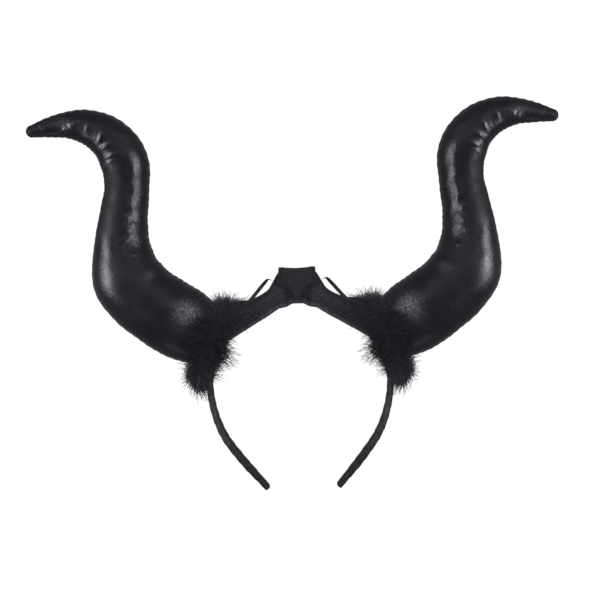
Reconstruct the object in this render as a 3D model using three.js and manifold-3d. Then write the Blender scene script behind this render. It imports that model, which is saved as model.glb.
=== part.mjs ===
// A costume headband with a pair of stuffed, S-curved horns, lying on its back on a flat surface.
// Millimetres, +Z up. Seen from its front, which faces up, +X runs to the right and +Y towards the
// horns' tops, and left and right are named from there. The origin lies on the surface, under the
// middle of the headband's outline. A satin-covered band runs through a padded cloth sleeve on each
// side of the crown, a gathered knot holds the two sleeves together, a horn stands on each shoulder
// of the band with a fur trim around its root, and a tape ties each sleeve back to the knot.
import * as THREE from "three";
import { mergeVertices } from "three/addons/utils/BufferGeometryUtils.js";
import Module from "manifold-3d";

const wasm = await Module();
wasm.setup();

// Driving dimensions
const GAP = 0.35; // clearance between pieces that touch
const CROWN_HEIGHT = 23; // band's middle above the surface, at the crown
const OUTLINE_SHIFT = 0.5; // moves the whole along Y, so that the origin is under the outline's middle

const BAND_WIDE_CROWN = 12;
const BAND_WIDE_TIP = 9;
const BAND_EDGE = 0.9; // chamfer that stands for the cover's round edge
const BAND_STEPS = 60;

// Right half of the band's middle line in the band's own plane, from the crown down to the arm's tip.
// Below the sleeves more turns of ribbon make it thicker.
const BAND_ROUTE = [
  { x: 0, y: 0, thick: 3.6 },
  { x: 22, y: -4.5, thick: 3.6 },
  { x: 41, y: -16.5, thick: 3.6 },
  { x: 55, y: -33.5, thick: 4.1 },
  { x: 63.8, y: -52, thick: 4.8 },
  { x: 65.2, y: -63.5, thick: 4.8 },
  { x: 62.7, y: -82, thick: 4.9 },
  { x: 56.2, y: -100, thick: 5.4 },
  { x: 44.7, y: -117, thick: 5.5 },
  { x: 25.7, y: -140, thick: 5.1 },
];
const ARM_TIP = BAND_ROUTE[BAND_ROUTE.length - 1];
// The band leans until the rear edges of its two arm tips lie on the surface.
const BAND_TILT = Math.asin((CROWN_HEIGHT - BAND_WIDE_TIP / 2) / (ARM_TIP.thick / 2 - ARM_TIP.y));

// Right horn from its root on the band to its tip: middle in the front view, width across, depth from
// front to back, and height of the underside. Where that is below 0 the stuffing is pressed flat.
const HORN_SECTIONS = [
  { x: 57.5, y: -32, wide: 30, deep: 26, under: 8.5 },
  { x: 64, y: -28, wide: 41.4, deep: 34, under: 5 },
  { x: 81, y: -18, wide: 52, deep: 44, under: -0.5 },
  { x: 98, y: -7, wide: 52, deep: 46, under: -1.5 },
  { x: 112.5, y: 4.5, wide: 51.5, deep: 45.5, under: -1.5 },
  { x: 121.5, y: 17.5, wide: 50.5, deep: 44, under: -1 },
  { x: 125, y: 36, wide: 42, deep: 38, under: -0.5 },
  { x: 124.3, y: 57, wide: 35, deep: 32.5, under: 0 },
  { x: 120.8, y: 84, wide: 32, deep: 30.5, under: -0.5 },
  { x: 122, y: 101, wide: 34, deep: 32, under: -1 },
  { x: 131, y: 117, wide: 31.5, deep: 30.5, under: -0.5 },
  { x: 146, y: 126.6, wide: 26, deep: 25.5, under: 1.5 },
  { x: 161.8, y: 129.2, wide: 20, deep: 20, under: 4.5 },
  { x: 176.5, y: 127.5, wide: 14.5, deep: 14.5, under: 8.5 },
  { x: 186.1, y: 125.4, wide: 10, deep: 10, under: 12.2 },
  { x: 189.6, y: 124.7, wide: 8, deep: 8, under: 13.7 },
  { x: 191.5, y: 124.35, wide: 4.8, deep: 4.8, under: 15.5 },
];
const HORN_STEPS = 62;
const HORN_SIDES = 18;
const TIP_CROWN = 0.7; // rounded end beyond the last section
const HORN_SKEW = 0.16; // how far the front leans towards the hollow side

// Creases where the horn's hide buckles on the hollow side of its upper bend, and softer dents below.
// at is the share of the horn's length, turn the way round it from the hollow side towards the front.
const HORN_CREASES = [
  { at: 0.668, turn: 70, deep: 0.9, long: 3.2 },
  { at: 0.716, turn: 74, deep: 1.3, long: 3.2 },
  { at: 0.765, turn: 76, deep: 1.3, long: 3.2 },
  { at: 0.803, turn: 82, deep: 1.0, long: 3.2 },
  { at: 0.45, turn: 150, deep: 1.0, long: 9 },
  { at: 0.31, turn: 25, deep: 1.2, long: 10 },
];

// Right sleeve in upright slices from the crown outwards, in the band's own plane.
const SLEEVE_SECTIONS = [
  { x: 0.6, top: 16.6, bottom: -3.2, deep: 15.6 },
  { x: 3.8, top: 17, bottom: -3.5, deep: 15.6 },
  { x: 8, top: 17.4, bottom: -6.1, deep: 15.6 },
  { x: 13.4, top: 17.6, bottom: -8.7, deep: 16 },
  { x: 15, top: 15.5, bottom: -9.7, deep: 16.2 },
  { x: 17.3, top: 11.5, bottom: -11, deep: 16.4 },
  { x: 20.8, top: 5.7, bottom: -12.8, deep: 16.8 },
  { x: 25.2, top: 2.5, bottom: -15.4, deep: 17 },
  { x: 30.3, top: 0, bottom: -18.3, deep: 17.2 },
  { x: 36, top: -1.8, bottom: -21.8, deep: 17.5 },
  { x: 43, top: -2, bottom: -25.9, deep: 18 },
  { x: 48.5, top: -4, bottom: -29.2, deep: 18 },
];
const SLEEVE_SIDES = 18;
const SLEEVE_SQUARE = 3.4; // exponent of the slice's outline: 2 is an ellipse, more is squarer
const SLEEVE_SLOPE_FROM = 5; // above this height the cloth is drawn in towards the knot's top
const SLEEVE_SLOPE_TO = 18;
const SLEEVE_TOP_SHARE = 0.4; // share of the depth that is left up there

// Knot of cloth around the crown: half of its depth and half of its width, from underside to top edge.
const KNOT_SECTIONS = [
  { y: -4.9, depth: 5.2, width: 4 },
  { y: -3.7, depth: 8.8, width: 3.9 },
  { y: 0, depth: 10, width: 3.7 },
  { y: 3, depth: 9.9, width: 4.6 },
  { y: 7.5, depth: 9.1, width: 9 },
  { y: 12, depth: 7.6, width: 12.8 },
  { y: 17, depth: 5.4, width: 13.4 },
  { y: 21.2, depth: 2, width: 12.7 },
];
const KNOT_WALL = 1;
const KNOT_STEPS = 13; // steps up its front, and as many down its back
const KNOT_COLUMNS = 10;
const KNOT_PLEATS = 5;
const KNOT_PLEAT_HIGH = 0.45;

// Right tape from the knot's flank to the fur, in the band's frame. turn 90 shows its edge to the front.
const TAPE_ROUTE = [
  { x: 17.6, y: 12.2, z: 0, turn: 88 },
  { x: 20.8, y: 12.9, z: 0.3, turn: 72 },
  { x: 23.6, y: 10.5, z: 1.4, turn: 52 },
  { x: 25.7, y: 8.3, z: 2.4, turn: 50 },
  { x: 29.6, y: 3.9, z: 4.6, turn: 48 },
  { x: 33.1, y: 0.3, z: 7.6, turn: 44 },
  { x: 37.4, y: -3.4, z: 10.4, turn: 30 },
];
const TAPE_WIDE = 2.8;
const TAPE_THICK = 1;
const TAPE_STEPS = 20;

// Fur trim around the right horn's root.
const FUR_MIDDLE = new THREE.Vector3(62.8, -30.7, 21.5);
const FUR_AXIS = new THREE.Vector3(0.866, 0.5, 0); // the way the horn leaves the band
const FUR_ACROSS = 26; // backing's half width across the front view
const FUR_DEEP = 20; // backing's half depth
const FUR_ROLL = 5; // backing's own half thickness
const FUR_ROLL_ALONG = 8; // and its half width along the horn
const FUR_LEAN = { middle: -0.5, swing: 2.5 }; // the trim's lower end lies further along the band
const FUR_FLOOR = 0.6; // the trim stays this far above the surface
const FUR_STEPS = 22;
const FUR_ROLL_SIDES = 8;
const FUR_LOCK_ROWS = [
  { along: -5.5, splay: -66, count: 17, long: 13, root: 4 },
  { along: -0.5, splay: -16, count: 12, long: 8, root: 4.4 },
  { along: 5, splay: 26, count: 14, long: 9, root: 4.2 },
];
const FUR_LOCK_SIDES = 5;
const FUR_LOCKS_ABOVE = -0.5; // the trim's underside, pressed on the surface, has no locks
const FUR_LOCK_UNEVEN = 0.28; // how much the locks differ in length

// Materials
const hide = new THREE.MeshStandardMaterial({ color: 0x1f1f22, roughness: 0.38, metalness: 0 });
const satin = new THREE.MeshStandardMaterial({ color: 0x2b2b2e, roughness: 0.5, metalness: 0 });
const cloth = new THREE.MeshStandardMaterial({ color: 0x28292c, roughness: 0.85, metalness: 0 });
const fur = new THREE.MeshStandardMaterial({ color: 0x1b1b1e, roughness: 0.95, metalness: 0 });
const elastic = new THREE.MeshStandardMaterial({ color: 0x1a1a1d, roughness: 0.7, metalness: 0 });

// Solids

// A closed skin over rings of points, all of one length, with both ends closed to a middle point.
function loft(rings, startPoint, endPoint) {
  const sides = rings[0].length;
  const points = rings.flat().concat([startPoint, endPoint]);
  const start = points.length - 2;
  const end = points.length - 1;
  const last = (rings.length - 1) * sides;
  const faces = [];
  for (let side = 0; side < sides; side++) {
    const next = (side + 1) % sides;
    faces.push(start, next, side);
    faces.push(end, last + side, last + next);
    for (let ring = 0; ring < rings.length - 1; ring++) {
      const a = ring * sides + side;
      const b = ring * sides + next;
      faces.push(a, b, b + sides);
      faces.push(a, b + sides, a + sides);
    }
  }
  return skin(points, faces);
}

// A closed skin over rings that run round and meet again, as on a hoop.
function hoop(rings) {
  const sides = rings[0].length;
  const faces = [];
  for (let ring = 0; ring < rings.length; ring++) {
    const from = ring * sides;
    const to = ((ring + 1) % rings.length) * sides;
    for (let side = 0; side < sides; side++) {
      const next = (side + 1) % sides;
      faces.push(from + side, from + next, to + next);
      faces.push(from + side, to + next, to + side);
    }
  }
  return skin(rings.flat(), faces);
}

// The faces over the points, turned so that they all look outwards.
function skin(points, faces) {
  let volume = 0;
  for (let face = 0; face < faces.length; face += 3) {
    const [a, b, c] = faces.slice(face, face + 3).map((index) => points[index]);
    volume += a.dot(new THREE.Vector3().crossVectors(b, c));
  }
  const geometry = new THREE.BufferGeometry().setFromPoints(points);
  geometry.setIndex(volume < 0 ? faces.toReversed() : faces);
  return geometry;
}

// The geometry as a solid for joining and cutting.
function solid(geometry) {
  const merged = mergeVertices(geometry, 1e-4);
  const triVerts = new Uint32Array(merged.index.array);
  const vertProperties = new Float32Array(merged.attributes.position.array);
  return new wasm.Manifold(new wasm.Mesh({ numProp: 3, vertProperties, triVerts }));
}

function geometryOf(manifold) {
  const mesh = manifold.getMesh();
  const geometry = new THREE.BufferGeometry();
  geometry.setAttribute("position", new THREE.BufferAttribute(mesh.vertProperties, 3));
  geometry.setIndex(new THREE.BufferAttribute(mesh.triVerts, 1));
  return geometry;
}

// A smooth function through a table's columns: takes a share of the way from its first row to its last.
function smooth(rows, ...columns) {
  const curve = new THREE.CatmullRomCurve3(
    rows.map((row) => new THREE.Vector3(...columns.map((column) => row[column]))),
  );
  return (share) => curve.getPoint(share);
}

function mean(points) {
  const sum = points.reduce((total, point) => total.add(point), new THREE.Vector3());
  return sum.divideScalar(points.length);
}

// The leftward normal of a step in the front view.
function leftOf(step) {
  return new THREE.Vector3(-step.y, step.x, 0).normalize();
}

// Horn

// How far the creases draw the hide in, at a share of the horn's length and a way round it.
function creaseAt(share, round) {
  const hornLength = 247;
  return HORN_CREASES.reduce((sum, crease) => {
    const along = ((share - crease.at) * hornLength) / crease.long;
    const facing = Math.max(0, Math.cos(round - THREE.MathUtils.degToRad(crease.turn)));
    return sum + crease.deep * Math.exp(-along * along) * facing ** 3;
  }, 0);
}

// extra grows the horn all round, to cut room for it out of its neighbours.
function hornGeometry(extra = 0) {
  const middle = new THREE.CatmullRomCurve3(
    HORN_SECTIONS.map((row) => new THREE.Vector3(row.x, row.y, row.under + row.deep / 2)),
  );
  const size = smooth(HORN_SECTIONS, "wide", "deep", "under");
  const rings = [];
  for (let step = 0; step <= HORN_STEPS; step++) {
    const share = step / HORN_STEPS;
    const place = middle.getUtoTmapping(share);
    const centre = middle.getPoint(place);
    const hollowSide = leftOf(middle.getTangent(place)).negate();
    const { x: wide, y: deep } = size(place);
    const ring = [];
    for (let side = 0; side < HORN_SIDES; side++) {
      const round = (2 * Math.PI * side) / HORN_SIDES;
      const inset = creaseAt(share, round) - extra;
      const rise = Math.sin(round) * (deep / 2 - inset);
      const point = centre.clone();
      point.addScaledVector(hollowSide, Math.cos(round) * (wide / 2 - inset) + HORN_SKEW * rise);
      point.z = Math.max(0, point.z + rise);
      ring.push(point);
    }
    rings.push(ring);
  }
  const tip = middle.getPoint(1).addScaledVector(middle.getTangent(1), TIP_CROWN + extra);
  const root = mean(rings[0]).addScaledVector(middle.getTangent(0), -extra);
  return loft(rings, root, tip);
}

// Band

// The band's rows from the left tip over the crown to the right tip.
function bandRows() {
  const left = BAND_ROUTE.slice(1).map((row) => ({ ...row, x: -row.x }));
  return [...left.reverse(), ...BAND_ROUTE];
}

// extra grows the band all round, to cut its channel through the sleeves.
function bandGeometry(extra = 0) {
  const rows = bandRows();
  const middle = new THREE.CatmullRomCurve3(rows.map((row) => new THREE.Vector3(row.x, row.y, 0)));
  const thick = smooth(rows, "thick", "thick", "thick");
  const rings = [];
  for (let step = 0; step <= BAND_STEPS; step++) {
    const share = step / BAND_STEPS;
    const centre = middle.getPointAt(share);
    const outward = leftOf(middle.getTangentAt(share));
    const fromCrown = Math.abs(2 * share - 1);
    const wide = THREE.MathUtils.lerp(BAND_WIDE_CROWN, BAND_WIDE_TIP, fromCrown);
    const halfThick = thick(middle.getUtoTmapping(share)).x / 2 + extra;
    const halfWide = wide / 2 + extra;
    const corners = [
      [halfThick, BAND_EDGE - halfWide],
      [halfThick, halfWide - BAND_EDGE],
      [halfThick - BAND_EDGE, halfWide],
      [BAND_EDGE - halfThick, halfWide],
      [-halfThick, halfWide - BAND_EDGE],
      [-halfThick, BAND_EDGE - halfWide],
      [BAND_EDGE - halfThick, -halfWide],
      [halfThick - BAND_EDGE, -halfWide],
    ];
    rings.push(
      corners.map(([out, up]) => {
        const point = centre.clone().addScaledVector(outward, out);
        point.z += up;
        return point;
      }),
    );
  }
  return loft(rings, mean(rings[0]), mean(rings[BAND_STEPS]));
}

// Sleeve

function sleeveShell(extra = 0) {
  const rings = SLEEVE_SECTIONS.map((slice, index) => {
    const middle = (slice.top + slice.bottom) / 2;
    const halfHigh = (slice.top - slice.bottom) / 2 + extra;
    const power = 2 / SLEEVE_SQUARE;
    const atEnd = index === SLEEVE_SECTIONS.length - 1;
    const ring = [];
    for (let side = 0; side < SLEEVE_SIDES; side++) {
      const round = (2 * Math.PI * side) / SLEEVE_SIDES;
      const up = Math.sign(Math.sin(round)) * Math.abs(Math.sin(round)) ** power;
      const out = Math.sign(Math.cos(round)) * Math.abs(Math.cos(round)) ** power;
      const y = middle + up * halfHigh;
      const slope = THREE.MathUtils.smoothstep(y, SLEEVE_SLOPE_FROM, SLEEVE_SLOPE_TO);
      const share = THREE.MathUtils.lerp(1, SLEEVE_TOP_SHARE, slope);
      const z = (out * slice.deep * share) / 2 + Math.sign(out) * extra;
      ring.push(new THREE.Vector3(slice.x + (atEnd ? extra : 0), y, z));
    }
    return ring;
  });
  return loft(rings, mean(rings[0]), mean(rings[rings.length - 1]));
}

function sleeveGeometry() {
  return geometryOf(solid(sleeveShell()).subtract(solid(bandGeometry(GAP))));
}

// Knot

// One wall that runs up the front, over the top, down the back and under the band, fanned out at its top.
function knotGeometry() {
  const size = smooth(KNOT_SECTIONS, "y", "depth", "width");
  const loop = [];
  for (let step = 0; step <= KNOT_STEPS; step++) loop.push({ ...size(step / KNOT_STEPS), face: 1 });
  for (let step = KNOT_STEPS; step >= 0; step--) loop.push({ ...size(step / KNOT_STEPS), face: -1 });
  const outer = loop.map((row) => new THREE.Vector2(row.x, row.face * row.y));
  const rings = loop.map((row, index) => {
    const before = outer[(index + loop.length - 1) % loop.length];
    const after = outer[(index + 1) % loop.length];
    const step = after.clone().sub(before).normalize();
    const outward = new THREE.Vector2(-step.y, step.x);
    const ring = [];
    for (let column = 0; column <= KNOT_COLUMNS; column++) {
      const across = (2 * column) / KNOT_COLUMNS - 1;
      const pleat = KNOT_PLEAT_HIGH * 0.5 * (Math.cos(across * Math.PI * KNOT_PLEATS) - 1);
      const point = outer[index].clone().addScaledVector(outward, pleat);
      ring.push(new THREE.Vector3(across * row.z, point.x, point.y));
    }
    const inner = outer[index].clone().addScaledVector(outward, -KNOT_WALL);
    ring.push(new THREE.Vector3(row.z, inner.x, inner.y));
    ring.push(new THREE.Vector3(-row.z, inner.x, inner.y));
    return ring;
  });
  return hoop(rings);
}

// Tape

function tapeGeometry(extra = 0) {
  const route = smooth(TAPE_ROUTE, "x", "y", "z");
  const twist = smooth(TAPE_ROUTE, "turn", "turn", "turn");
  const rings = [];
  for (let step = 0; step <= TAPE_STEPS; step++) {
    const share = step / TAPE_STEPS;
    const centre = route(share);
    const ahead = route(Math.min(1, share + 0.01)).sub(route(Math.max(0, share - 0.01))).normalize();
    const flat = leftOf(ahead);
    const front = new THREE.Vector3().crossVectors(ahead, flat).normalize();
    const turn = THREE.MathUtils.degToRad(twist(share).x);
    const wideWay = flat.clone().multiplyScalar(Math.cos(turn)).addScaledVector(front, Math.sin(turn));
    const thickWay = new THREE.Vector3().crossVectors(ahead, wideWay);
    const corners = [
      [1, 1],
      [-1, 1],
      [-1, -1],
      [1, -1],
    ];
    rings.push(
      corners.map(([wide, thick]) =>
        centre
          .clone()
          .addScaledVector(wideWay, wide * (TAPE_WIDE / 2 + extra))
          .addScaledVector(thickWay, thick * (TAPE_THICK / 2 + extra)),
      ),
    );
  }
  return loft(rings, mean(rings[0]), mean(rings[TAPE_STEPS]));
}

// Fur

// Where the trim's backing runs at a way round the horn: its place and its outward direction.
function furPlace(round) {
  const up = new THREE.Vector3(-FUR_AXIS.y, FUR_AXIS.x, 0);
  const front = new THREE.Vector3(0, 0, 1);
  const place = FUR_MIDDLE.clone()
    .addScaledVector(up, Math.sin(round) * FUR_ACROSS)
    .addScaledVector(front, Math.cos(round) * FUR_DEEP)
    .addScaledVector(FUR_AXIS, FUR_LEAN.middle + FUR_LEAN.swing * Math.sin(round));
  const outward = up.multiplyScalar(Math.sin(round)).addScaledVector(front, Math.cos(round)).normalize();
  return { place, outward };
}

function furBacking() {
  const rings = [];
  for (let step = 0; step < FUR_STEPS; step++) {
    const { place, outward } = furPlace((2 * Math.PI * step) / FUR_STEPS);
    const ring = [];
    for (let side = 0; side < FUR_ROLL_SIDES; side++) {
      const round = (2 * Math.PI * side) / FUR_ROLL_SIDES;
      const point = place.clone().addScaledVector(outward, Math.cos(round) * FUR_ROLL);
      ring.push(point.addScaledVector(FUR_AXIS, Math.sin(round) * FUR_ROLL_ALONG));
    }
    rings.push(ring);
  }
  return hoop(rings);
}

// The way round the horn at which a lock grows.
function lockRound(row, index) {
  return (2 * Math.PI * (index + row.along / 7)) / row.count;
}

// One lock: a spike that leaves the backing and leans aside at its end.
function furLock(row, index) {
  const { place, outward } = furPlace(lockRound(row, index));
  // over the band's edges the locks stand up instead of lying down
  const splay = THREE.MathUtils.degToRad(row.splay) * outward.z ** 2;
  const ahead = outward.clone().multiplyScalar(Math.cos(splay)).addScaledVector(FUR_AXIS, Math.sin(splay));
  const side = new THREE.Vector3().crossVectors(ahead, FUR_AXIS).normalize();
  const over = new THREE.Vector3().crossVectors(side, ahead);
  const long = row.long * (1 + FUR_LOCK_UNEVEN * Math.sin(index * 2.4 + row.splay));
  const base = place.addScaledVector(FUR_AXIS, row.along);
  const rings = [0, 0.55].map((share) => {
    const centre = base.clone().addScaledVector(ahead, share * long);
    const radius = row.root * (1 - 0.55 * share);
    const ring = [];
    for (let corner = 0; corner < FUR_LOCK_SIDES; corner++) {
      const angle = (2 * Math.PI * corner) / FUR_LOCK_SIDES;
      const point = centre.clone().addScaledVector(side, Math.cos(angle) * radius);
      ring.push(point.addScaledVector(over, Math.sin(angle) * radius));
    }
    return ring;
  });
  const tip = base.clone().addScaledVector(ahead, long).addScaledVector(side, 1.2 * Math.sin(index * 1.7));
  return loft(rings, mean(rings[0]), tip);
}

function furGeometry(neighbours) {
  const locks = FUR_LOCK_ROWS.flatMap((row) =>
    Array.from({ length: row.count }, (_, index) => index)
      .filter((index) => furPlace(lockRound(row, index)).outward.z > FUR_LOCKS_ABOVE)
      .map((index) => solid(furLock(row, index))),
  );
  const trim = locks.reduce((whole, lock) => whole.add(lock), solid(furBacking()));
  const below = new THREE.BoxGeometry(200, 200, 60);
  below.translate(FUR_MIDDLE.x, FUR_MIDDLE.y, FUR_FLOOR - 30);
  below.deleteAttribute("normal");
  below.deleteAttribute("uv");
  const cutters = [below, ...neighbours].map(solid);
  const bodies = cutters.reduce((left, cutter) => left.subtract(cutter), trim).decompose();
  // the ends of locks that the cuts leave loose fall away
  return geometryOf(bodies.reduce((main, body) => (body.volume() > main.volume() ? body : main)));
}

// Assembly

function named(name, geometry, material) {
  const mesh = new THREE.Mesh(geometry, material);
  mesh.name = name;
  return mesh;
}

// The leaning frame that the band and the cloth on it share.
function leaningFrame() {
  const frame = new THREE.Group();
  frame.position.z = CROWN_HEIGHT;
  frame.rotation.x = BAND_TILT;
  frame.updateMatrix();
  return frame;
}

function side(name, mirror) {
  const group = new THREE.Group();
  group.scale.x = mirror;
  const leaning = leaningFrame();
  const leaned = (geometry) => geometry.applyMatrix4(leaning.matrix);
  const room = [
    hornGeometry(GAP),
    leaned(bandGeometry(GAP)),
    leaned(sleeveShell(GAP)),
    leaned(tapeGeometry(GAP)),
  ];
  leaning.add(named(`${name}_sleeve`, sleeveGeometry(), cloth));
  leaning.add(named(`${name}_tape`, tapeGeometry(), elastic));
  group.add(leaning);
  group.add(named(`${name}_horn`, hornGeometry(), hide));
  group.add(named(`${name}_fur`, furGeometry(room), fur));
  return group;
}

const headband = new THREE.Group();
headband.position.y = OUTLINE_SHIFT;
const crown = leaningFrame();
crown.add(named("band", bandGeometry(), satin));
crown.add(named("knot", knotGeometry(), cloth));
headband.add(crown, side("right", 1), side("left", -1));

export default headband;
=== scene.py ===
"""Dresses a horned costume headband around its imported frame.

The headband lies on its back and is seen from straight above. Its horns are stuffed faux leather, their roots
have a fur trim, the crown is covered by two cloth sleeves and a gathered knot, a tape ties each sleeve to the
knot, and the band's arms are wrapped in ribbon. Shapes are worked out in millimetres and stored in metres.
"""

import math

import bmesh
import bpy
import numpy as np
from bpy.props import FloatProperty, FloatVectorProperty, IntProperty, PointerProperty
from bpy.types import Operator, Panel, PropertyGroup
from mathutils import Matrix, Vector


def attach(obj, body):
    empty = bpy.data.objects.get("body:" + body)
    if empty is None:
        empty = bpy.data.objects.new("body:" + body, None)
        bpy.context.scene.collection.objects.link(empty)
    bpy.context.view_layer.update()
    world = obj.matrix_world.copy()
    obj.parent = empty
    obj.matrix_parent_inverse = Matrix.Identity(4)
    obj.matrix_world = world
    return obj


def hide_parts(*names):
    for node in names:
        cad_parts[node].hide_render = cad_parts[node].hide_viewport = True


bl_info = {
    "name": "Horned costume headband",
    "version": (1, 0, 0),
    "blender": (4, 5, 0),
    "location": "3D View > Sidebar > Headband",
    "description": "Builds the looks of a horned costume headband around its packed frame",
    "category": "Object",
}

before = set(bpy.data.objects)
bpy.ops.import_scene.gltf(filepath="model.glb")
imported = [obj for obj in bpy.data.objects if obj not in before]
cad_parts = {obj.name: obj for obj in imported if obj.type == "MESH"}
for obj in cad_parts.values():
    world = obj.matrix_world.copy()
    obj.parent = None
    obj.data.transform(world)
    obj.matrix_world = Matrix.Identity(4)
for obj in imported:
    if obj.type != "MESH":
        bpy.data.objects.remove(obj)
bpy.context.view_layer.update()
MM = 0.001
UP = np.array([0.0, 0.0, 1.0])

# Shapes, in millimetres. They repeat the frame's own routes and sections.
CROWN_HEIGHT = 23.0
OUTLINE_SHIFT = 0.5
BAND_WIDE = (12.0, 9.0)  # at the crown and at the tips
BAND_ROUTE = (  # right half: x, y in the band's own plane, thickness
    (0, 0, 3.6), (22, -4.5, 3.6), (41, -16.5, 3.6), (55, -33.5, 4.1), (63.8, -52, 4.8),
    (65.2, -63.5, 4.8), (62.7, -82, 4.9), (56.2, -100, 5.4), (44.7, -117, 5.5), (25.7, -140, 5.1),
)
BAND_FLOOR = 0.05  # it stays this far above the floor
BAND_TILT = math.asin((CROWN_HEIGHT - BAND_WIDE[1] / 2) / (BAND_ROUTE[-1][2] / 2 - BAND_ROUTE[-1][1]))

HORN_SECTIONS = (  # x, y, width, depth, height of the underside
    (57.5, -32, 30, 26, 8.5),
    (64, -28, 41.4, 34, 5),
    (81, -18, 52, 44, -0.5),
    (98, -7, 52, 46, -1.5),
    (112.5, 4.5, 51.5, 45.5, -1.5),
    (121.5, 17.5, 50.5, 44, -1),
    (125, 36, 42, 38, -0.5),
    (124.3, 57, 35, 32.5, 0),
    (120.8, 84, 32, 30.5, -0.5),
    (122, 101, 34, 32, -1),
    (131, 117, 31.5, 30.5, -0.5),
    (146, 126.6, 26, 25.5, 1.5),
    (161.8, 129.2, 20, 20, 4.5),
    (176.5, 127.5, 14.5, 14.5, 8.5),
    (188.1, 125, 9, 9, 13),
)
HORN_TIP = 4.1  # length of the rounded end
HORN_SLACK = 0.97  # share of its depth before the stuffing swells it
HORN_MOMENTS = 20  # steps that the stuffing takes
HORN_PUCKER = 5.2  # length of one pucker beside a seam
HORN_SKEW = 0.16  # how far the front leans towards the hollow side
HORN_WRINKLES = (  # share of the length, turn from the hollow side, height, length along, spread in degrees
    (0.662, 62, -0.2, 3.4, 30),
    (0.682, 60, 0.3, 1.8, 16),
    (0.700, 75, 0.5, 1.7, 17),
    (0.722, 72, -0.15, 2.4, 26),
    (0.747, 78, 0.55, 1.6, 16),
    (0.763, 76, -0.15, 2.2, 24),
    (0.779, 88, 0.55, 1.6, 16),
    (0.800, 84, -0.15, 2.3, 24),
    (0.822, 97, 0.45, 1.6, 14),
    (0.740, 130, 0.3, 2.6, 12),
    (0.872, 100, 0.35, 1.9, 16),
    (0.886, 90, 0.4, 2.0, 18),
    (0.900, 80, 0.3, 1.7, 16),
    (0.972, 105, -0.25, 0.9, 45),
    (0.340, 57, -0.25, 26, 15),
    (0.450, 100, 0.3, 20, 22),
    (0.586, 58, -0.2, 2.4, 26),
    (0.640, 60, -0.15, 2.2, 22),
    (0.520, 58, -0.18, 2.6, 24),
    (0.585, 122, 0.22, 1.9, 7),
    (0.562, 118, 0.28, 1.8, 7),
    (0.537, 121, 0.32, 2.0, 8),
    (0.512, 110, 0.45, 2.2, 8),
    (0.500, 126, 0.4, 1.9, 7),
    (0.480, 113, 0.45, 2.2, 8),
    (0.458, 118, 0.36, 1.8, 8),
    (0.438, 105, 0.45, 2.3, 8),
    (0.393, 121, 0.35, 1.6, 6),
)

# The hide is crinkled along the waist, near the root and towards the tip. It is most polished low on the
# outer side, dull inside both bends and near the tip, and thickly coated low on the outer side and near both
# ends.
HORN_PATCHES = {  # turn, spread in degrees, share of the length, reach, amount
    "crinkle": (
        (118, 30, 0.5, 0.08, 0.25),
        (118, 30, 0.63, 0.06, 0.1),
        (118, 30, 0.118, 0.06, 0.45),
        (0, math.inf, 0.9, 0.04, 0.5),
        (40, 45, 0.56, 0.12, 0.3),
    ),
    "polish": (
        (50, 40, 0.38, 0.07, 0.15),
        (128, 26, 0.95, 0.06, -0.35),
        (120, 24, 0.76, 0.06, -0.5),
        (104, 40, 0.28, 0.1, -0.25),
        (119, 25, 0.335, 0.045, -0.5),
    ),
    "coat": (
        (55, 30, 0.34, 0.08, 0.5),
        (112, 30, 0.118, 0.038, 1),
        (96, 26, 0.9, 0.025, 1),
    ),
    # pale specks near the root: a painted highlight, not wear
    "chafe": ((117, 18, 0.119, 0.034, 1),),
}

SLEEVE_SECTIONS = (  # x, top, bottom, depth, in the band's own plane; the last one is under the fur
    (0.6, 16.6, -4.2, 15.6),
    (3.8, 17, -4.8, 15.6),
    (8, 17.4, -6.9, 15.6),
    (13.4, 17.6, -8.1, 16),
    (15, 15.5, -9, 16.2),
    (17.3, 11.5, -10.5, 16.4),
    (20.8, 5.7, -12.8, 16.8),
    (25.2, 2.5, -15.4, 17),
    (30.3, 0, -18.3, 17.2),
    (36, -1.8, -21.8, 17.5),
    (43, -2, -25.9, 18),
    (48.5, -4, -29.2, 18),
    (52.5, -8, -31.5, 16.5),
)
SLEEVE_FOLDS = (  # x, y of its middle, the way it runs in degrees, half width, half length
    (7.6, -0.4, 40, 2.2, 2.6),
    (14.2, 9.6, 55, 1.8, 2.4),
    (19, -3.5, -35, 1.1, 6),
    (24.5, -4.5, -58, 0.9, 4),
    (27, -9, -20, 1.0, 5),
    (32, -9, -50, 1.2, 5),
    (38, -14, -25, 1.2, 6),
    (43, -10, -40, 1.3, 6),
)
SLEEVE_SQUARE = 3.4  # exponent of the slice's outline: 2 is an ellipse, more is squarer
SLEEVE_SLOPE = (5.0, 18.0, 0.4)  # from, to, and the share of the depth that is left up there

KNOT_SECTIONS = (  # y, half depth, half width
    (-4.5, 5.2, 3.6),
    (-3.5, 8.8, 3.7),
    (0, 10, 3.7),
    (3, 9.9, 4.6),
    (7.5, 9.1, 9),
    (12, 7.6, 12.8),
    (17, 5.4, 13.4),
    (21.2, 2, 13.2),
)
KNOT_WALL = 1.0

TAPE_ROUTE = (  # x, y, z, turn: 90 shows its edge to the front
    (17.6, 12.2, 0, 88),
    (20.8, 12.9, 0.3, 64),
    (23.6, 10.5, 1.4, 36),
    (25.7, 8.3, 2.4, 30),
    (29.6, 3.9, 4.6, 30),
    (33.1, 0.3, 7.6, 32),
    (37.4, -3.4, 10.4, 30),
)
TAPE_SIZE = (2.8, 1.0)

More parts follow.
